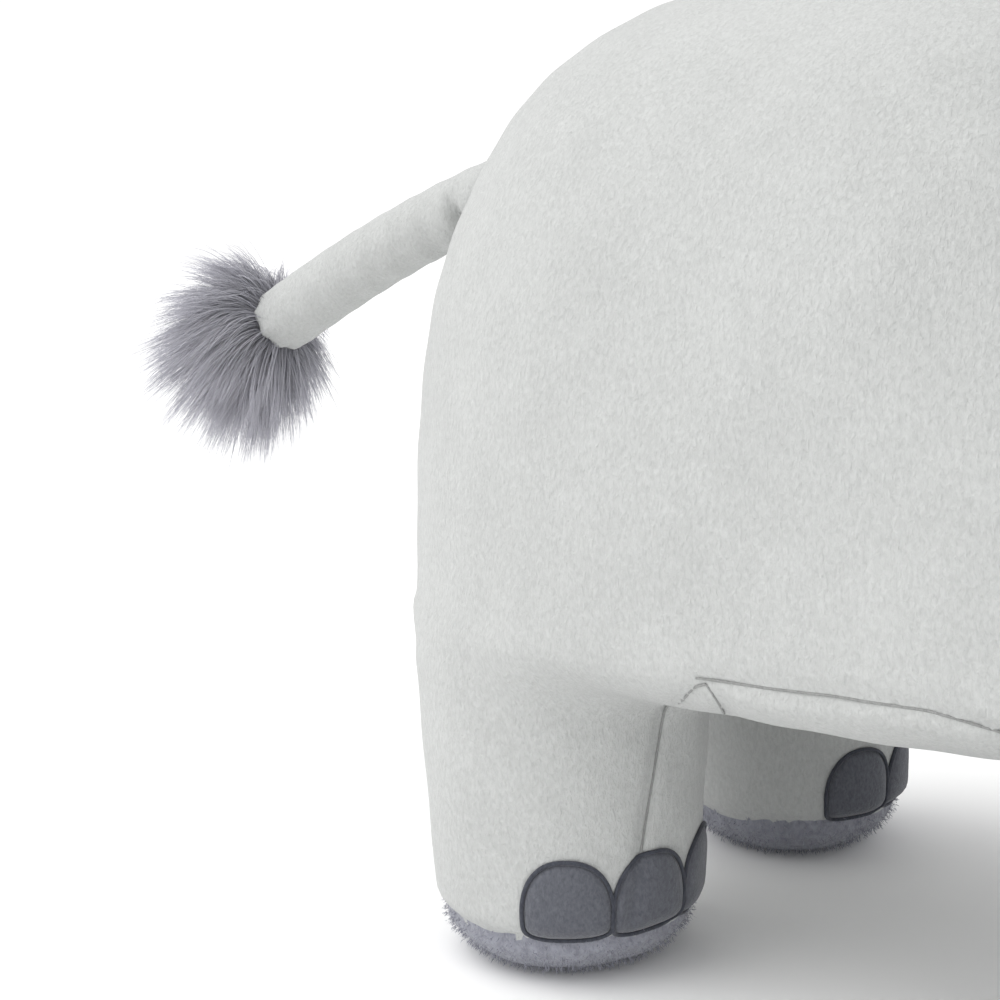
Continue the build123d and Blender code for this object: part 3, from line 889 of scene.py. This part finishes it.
def sole_fuzz(word, row, keep):
    """Short standing fibres over the sole's fabric."""
    faces = quads[keep]
    middle = verts[faces].mean(axis=1)
    out = unit(normals[faces].mean(axis=1))
    shown = middle[:, 2] > FLOOR + 0.0015
    middle, out = middle[shown], out[shown]
    each = 7
    pick = np.repeat(np.arange(len(middle)), each)
    roots = middle[pick] + RANDOM.uniform(-1, 1, (len(pick), 3)) * GRID * 0.6
    lean = unit(out[pick] + RANDOM.normal(size=(len(pick), 3)) * 0.55 + [0, 0, -0.25])
    tips = roots + lean * RANDOM.uniform(0.0009, 0.0019, (len(pick), 1))
    tips[:, 2] = np.maximum(tips[:, 2], FLOOR + 0.0002)
    roots = roots - out[pick] * 0.0005
    bow = RANDOM.normal(size=(len(pick), 3)) * 0.0003
    width = RANDOM.uniform(0.00022, 0.00038, len(pick))
    fuzz = fibres(f"{word}_{row}_sole_fuzz", roots, tips, bow, width, SOLE_FIBRE,
                  RANDOM.uniform(0, 1, len(pick)), steps=3)
    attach(fuzz, "elephant_body")


for word, half, sign in side_words():
    for row, axis_y in (("hind", HIND_Y), ("front", FRONT_Y)):
        sole_fuzz(word, row, sole_face & half & (np.abs(centres[:, 1] - axis_y) < NEAR_LEG))


# ---------------------------------------------------------------- tail

TAIL_ARCH = 0.005


def tail_path(count):
    """The tail's line: a shallow arch from inside the rump to the tuft."""
    share = np.linspace(-0.12, 1.0, count)
    path = TAIL_ROOT + (TAIL_END - TAIL_ROOT) * share[:, None]
    path[:, 2] += TAIL_ARCH * np.sin(np.clip(share, 0, 1) * math.pi)
    return path, share


def height_of(path, angles):
    """How far up each point round a tube faces, from -1 below to 1 above."""
    tangent, side, other = frames_along(path, False)
    return side[:, 2:3] * np.cos(angles)[None] + other[:, 2:3] * np.sin(angles)[None]


def tail_sleeve():
    """A stuffed sleeve, pinched and folded where it meets the rump and gathered at its end."""
    count = 120
    path, share = tail_path(count)

    def shape(rows, angles):
        radius = np.interp(share, [-0.12, 0.0, 0.25, 0.9, 0.97, 1.0],
                           [0.011, 0.0142, 0.0152, 0.0164, 0.0156, 0.0112])
        waves = 0.0005 * np.sin(share * 60)[:, None] * np.sin(2 * angles + 1.0)[None]
        gather = 0.0010 * np.exp(-(((share - 1.0) / 0.06) ** 2))[:, None] * np.cos(9 * angles)[None]
        below = np.clip(0.45 - height_of(path, angles), 0, 1)
        fold = 0.0070 * np.exp(-(((share - 0.215) / 0.016) ** 2))[:, None] * below
        swell = 0.0014 * np.exp(-(((share - 0.275) / 0.030) ** 2))[:, None] * below
        return radius[:, None] + waves + gather - fold + swell

    sleeve = tube("tail_sleeve_skin", path, 0.014, 48, MINKY, shape=shape)
    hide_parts("tail_sleeve", "tail_stuffing")
    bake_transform(sleeve)


def tail_tuft():
    """Long fur in soft clumps that fan out and droop from the end of the sleeve."""
    along = unit(TAIL_END - TAIL_ROOT)
    side = np.array([1.0, 0, 0])
    up = np.cross(side, along)
    clumps = 260
    each = 52
    height = 0.16 + 0.84 * RANDOM.uniform(0, 1, clumps) ** 0.9
    angle = RANDOM.uniform(0, 2 * math.pi, clumps)
    flat = np.sqrt(np.clip(1 - height ** 2, 0, 1))
    around = side * np.cos(angle)[:, None] + up * np.sin(angle)[:, None]
    aim = along * height[:, None] + around * flat[:, None]
    reach = RANDOM.uniform(0.054, 0.066, clumps) * (0.62 + 0.78 * height)
    centre = TAIL_END - along * 0.003
    droop = np.array([0, 0, 1]) * RANDOM.uniform(0.000, 0.017, (clumps, 1))
    clump_tip = centre + unit(aim) * reach[:, None] - droop
    pick = np.repeat(np.arange(clumps), each)
    spread = RANDOM.normal(size=(len(pick), 3))
    roots = centre + unit(aim[pick] + spread * 0.30) * 0.0095
    tips = clump_tip[pick] + spread * 0.0036
    tips = centre + (tips - centre) * RANDOM.uniform(0.74, 1.03, (len(pick), 1))
    bow = np.array([0, 0, 0.0060]) + RANDOM.normal(size=(len(pick), 3)) * 0.0016
    width = RANDOM.uniform(0.00030, 0.00058, len(pick))
    tone = 0.5 + RANDOM.normal(size=clumps)[pick] * 0.20 + RANDOM.normal(size=len(pick)) * 0.13
    tone = np.clip(tone, 0, 1)
    fur = fibres("tail_tuft_fur", roots, tips, bow, width, FUR, tone, steps=9)
    core = ball_mesh("tail_tuft_core", centre + along * 0.012, 0.017, FUR)
    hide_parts("tail_tuft")
    for thing in (fur, core):
        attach(thing, "tuft")


def ball_mesh(name, centre, radius, material):
    """A round core of quads, with a little unevenness."""
    core, faces = surface_net(lambda p: ball(p, centre, radius), np.array(centre) - radius * 1.3,
                              np.array(centre) + radius * 1.3, radius / 7)
    thing = new_object(name, core, faces, material)
    for key, value in (("along", 0.1), ("tone", 0.4)):
        values = np.full(len(thing.data.vertices), value, np.float32)
        thing.data.attributes.new(key, "FLOAT", "POINT").data.foreach_set("value", values)
    return thing


tail_sleeve()
tail_tuft()


# ---------------------------------------------------------------- ears

EAR_REACH = 0.146
EAR_HALF_HEIGHT = 0.097
EAR_THICK = 0.0085
EAR_SWEEP = math.radians(18.0)


def ear_outline(count):
    """Points round the ear in its own plane: out from the head, and up."""
    guide = np.array([
        (0.000, 0.040), (0.030, 0.080), (0.075, 0.097), (0.122, 0.078), (0.146, 0.026),
        (0.138, -0.030), (0.108, -0.072), (0.068, -0.094), (0.032, -0.078), (0.000, -0.040),
        (-0.006, 0.0),
    ])
    points = []
    total = len(guide)
    for i in range(total):
        p0, p1, p2, p3 = (guide[(i + k - 1) % total] for k in range(4))
        for t in np.arange(count // total) / (count // total):
            points.append(0.5 * (2 * p1 + (p2 - p0) * t + (2 * p0 - 5 * p1 + 4 * p2 - p3) * t ** 2
                                 + (3 * p1 - p0 - 3 * p2 + p3) * t ** 3))
    return np.array(points)


def ear_frame(sign):
    """Where an ear is sewn on, and its outward direction."""
    outwards = np.array([sign * math.cos(EAR_SWEEP), math.sin(EAR_SWEEP), 0])
    return EAR_ROOT * [sign, 1, 1], outwards


def ear_mesh(sign, face):
    """Rings of one side of the ear, puffed between its seams; face is 1 in front, -1 behind."""
    rim = ear_outline(88)
    centre = np.array([0.064, 0.002])
    rings = 22
    root, outwards = ear_frame(sign)
    forwards = np.array([sign * math.sin(EAR_SWEEP), -math.cos(EAR_SWEEP), 0])
    rows = []
    for r in range(rings + 1):
        share = math.sin(r / rings * math.pi / 2)
        for place in rim:
            at = centre + (place - centre) * share
            puff = EAR_THICK * math.sqrt(max(0.0, 1 - share ** 2.6))
            cup = 0.010 * math.sin(min(max(at[0] / EAR_REACH, 0), 1) * math.pi)
            cup -= 0.006 * (at[1] / EAR_HALF_HEIGHT) ** 2
            wave = 0.0016 * math.sin(at[1] * 70 + at[0] * 25)
            depth = face * puff + (cup + wave) * min(1.0, max(0.0, at[0] / 0.05))
            rows.append(root + outwards * at[0] + np.array([0, 0, 1]) * at[1] + forwards * depth)
    count = len(rim)
    faces = [(0, count + i, count + (i + 1) % count) for i in range(count)]
    for r in range(1, rings):
        here, beyond = r * count, (r + 1) * count
        for i in range(count):
            j = (i + 1) % count
            faces.append((here + i, beyond + i, beyond + j, here + j))
    return np.array(rows), faces


def ear(word, sign):
    """An ear with a pale back and a slate lining, seamed round its edge."""
    for name, face, material, slot, nodes in (
            ("ear_back_skin", -1, MINKY, "minky", ["ear_back", "ear_wadding"]),
            ("ear_lining_skin", 1, LINING, "ear_lining", ["ear_lining"])):
        points, faces = ear_mesh(sign, face)
        thing = new_object(f"{word}_{name}", points, faces, material)
        tidy_mesh(thing)
        outward = np.array([0, face * -1.0, 0])
        mean = np.mean([np.array(poly.normal) * poly.area for poly in thing.data.polygons], axis=0)
        if mean @ outward < 0:
            thing.data.flip_normals()
        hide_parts(*[f"{word}_{node}" for node in nodes])
        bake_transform(thing)


for word, half, sign in side_words():
    ear(word, sign)


# ---------------------------------------------------------------- eyes

EYE_RADIUS = 0.0085
EYE_DOME = 0.0062
EYE_TURN = math.radians(44.0)
EYE_RISE = math.radians(14.0)


def eye_bead(word, sign):
    """A glossy domed bead pressed a little into the fabric of the face."""
    ray = Vector((sign * math.sin(EYE_TURN) * math.cos(EYE_RISE),
                  -math.cos(EYE_TURN) * math.cos(EYE_RISE), math.sin(EYE_RISE)))
    hit, normal, index, distance = skin_tree.ray_cast(Vector(HEAD) + ray * 0.25, -ray)
    out = np.array((ray + normal).normalized())
    side = unit(np.cross(out, [0.0, 0.0, 1.0]))
    up = np.cross(side, out)
    rings, around = 12, 40
    base = np.array(hit)
    points = [base + out * EYE_DOME]
    for r in range(1, rings + 1):
        angle = r / rings * math.pi * 0.56
        for i in range(around):
            turn = 2 * math.pi * i / around
            flat = side * math.cos(turn) + up * math.sin(turn)
            points.append(base + flat * EYE_RADIUS * math.sin(angle)
                          + out * EYE_DOME * math.cos(angle))
    faces = [(0, 1 + i, 1 + (i + 1) % around) for i in range(around)]
    for r in range(rings - 1):
        here, below = 1 + r * around, 1 + (r + 1) * around
        for i in range(around):
            k = (i + 1) % around
            faces.append((here + i, below + i, below + k, here + k))
    bead = new_object(f"{word}_eye_bead", np.array(points), faces, EYE)
    tidy_mesh(bead)
    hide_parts(f"{word}_eye")
    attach(bead, "elephant_body")


for word, half, sign in side_words():
    eye_bead(word, sign)


# ---------------------------------------------------------------- floor, light and camera

def stage_material():
    """A pale matte floor with the faintest variation."""
    n = Nodes("studio_floor")
    tone = n.ramp(n.noise(3.0, 2.0), "Fac",
                  [(0.3, (0.915, 0.915, 0.915)), (0.7, (0.925, 0.925, 0.925))])
    n.link(tone, "Color", n.shader, "Base Color")
    return n.finish(Roughness=0.9, Specular_IOR_Level=0.1)


def floor_plane():
    """A wide floor, larger than any view of it."""
    reach = 12.0
    corners = [(x * reach, y * reach, FLOOR) for x, y in ((-1, -1), (1, -1), (1, 1), (-1, 1))]
    plane = new_object("studio_floor", corners, [(0, 1, 2, 3)], stage_material(), smooth=False)


def area_light(name, place, target, size, power):
    """A large soft light that faces a target."""
    data = bpy.data.lights.new(name, "AREA")
    data.shape = "DISK"
    data.size = size
    data.energy = power
    lamp = bpy.data.objects.new(name, data)
    lamp.location = place
    lamp.rotation_euler = (Vector(target) - Vector(place)).to_track_quat("-Z", "Y").to_euler()
    bpy.context.scene.collection.objects.link(lamp)


def camera():
    """A close view of the right hind quarter from the right front."""
    azimuth, rise, roll = math.radians(-49.5), math.radians(8.65), math.radians(-1.4)
    distance = 0.72
    target = Vector((-LEG_X, HIND_Y + 0.031, 0.1777))
    back = Vector((math.sin(azimuth) * math.cos(rise), -math.cos(azimuth) * math.cos(rise),
                   math.sin(rise)))
    data = bpy.data.cameras.new("camera")
    data.sensor_width = 36.0
    data.lens = 64.8
    view = bpy.data.objects.new("camera", data)
    view.location = target + back * distance
    turn = (-back).to_track_quat("-Z", "Y").to_matrix()
    view.rotation_euler = (turn @ Matrix.Rotation(roll, 3, "Z")).to_euler()
    bpy.context.scene.collection.objects.link(view)
    bpy.context.scene.camera = view


def sun(name, from_side, power, spread):
    """A soft sun that shines from a side."""
    data = bpy.data.lights.new(name, "SUN")
    data.energy = power
    data.angle = math.radians(spread)
    data.color = (1.0, 0.995, 0.985)
    lamp = bpy.data.objects.new(name, data)
    lamp.location = Vector(from_side) * 2
    lamp.rotation_euler = Vector(from_side).to_track_quat("Z", "Y").to_euler()
    bpy.context.scene.collection.objects.link(lamp)


def world():
    """White surroundings, brightest beyond the left side of the elephant."""
    sky = bpy.data.worlds.new("studio")
    sky.use_nodes = True
    tree = sky.node_tree
    background = tree.nodes["Background"]
    background.inputs["Color"].default_value = (1, 1, 1, 1)
    place = tree.nodes.new("ShaderNodeTexCoord")
    facing = tree.nodes.new("ShaderNodeVectorMath")
    facing.operation = "DOT_PRODUCT"
    facing.inputs[1].default_value = (0.76, 0.65, 0.0)
    range_node = tree.nodes.new("ShaderNodeMapRange")
    for key, value in (("From Min", 0.1), ("From Max", 0.75), ("To Min", 0.98), ("To Max", 1.06)):
        range_node.inputs[key].default_value = value
    tree.links.new(place.outputs["Generated"], facing.inputs[0])
    tree.links.new(facing.outputs["Value"], range_node.inputs["Value"])
    tree.links.new(range_node.outputs["Result"], background.inputs["Strength"])
    bpy.context.scene.world = sky
    bpy.context.scene.view_settings.view_transform = "Standard"


floor_plane()
sun("key", (-0.46, 0.40, 0.86), 1.20, 60.0)
area_light("soft_top", (-1.2, 0.9, 2.2), (0, 0, 0.25), 1.8, 6)
area_light("fill", (-0.2, -1.8, 1.0), (-0.1, -0.1, 0.05), 1.2, 8)
world()
camera()
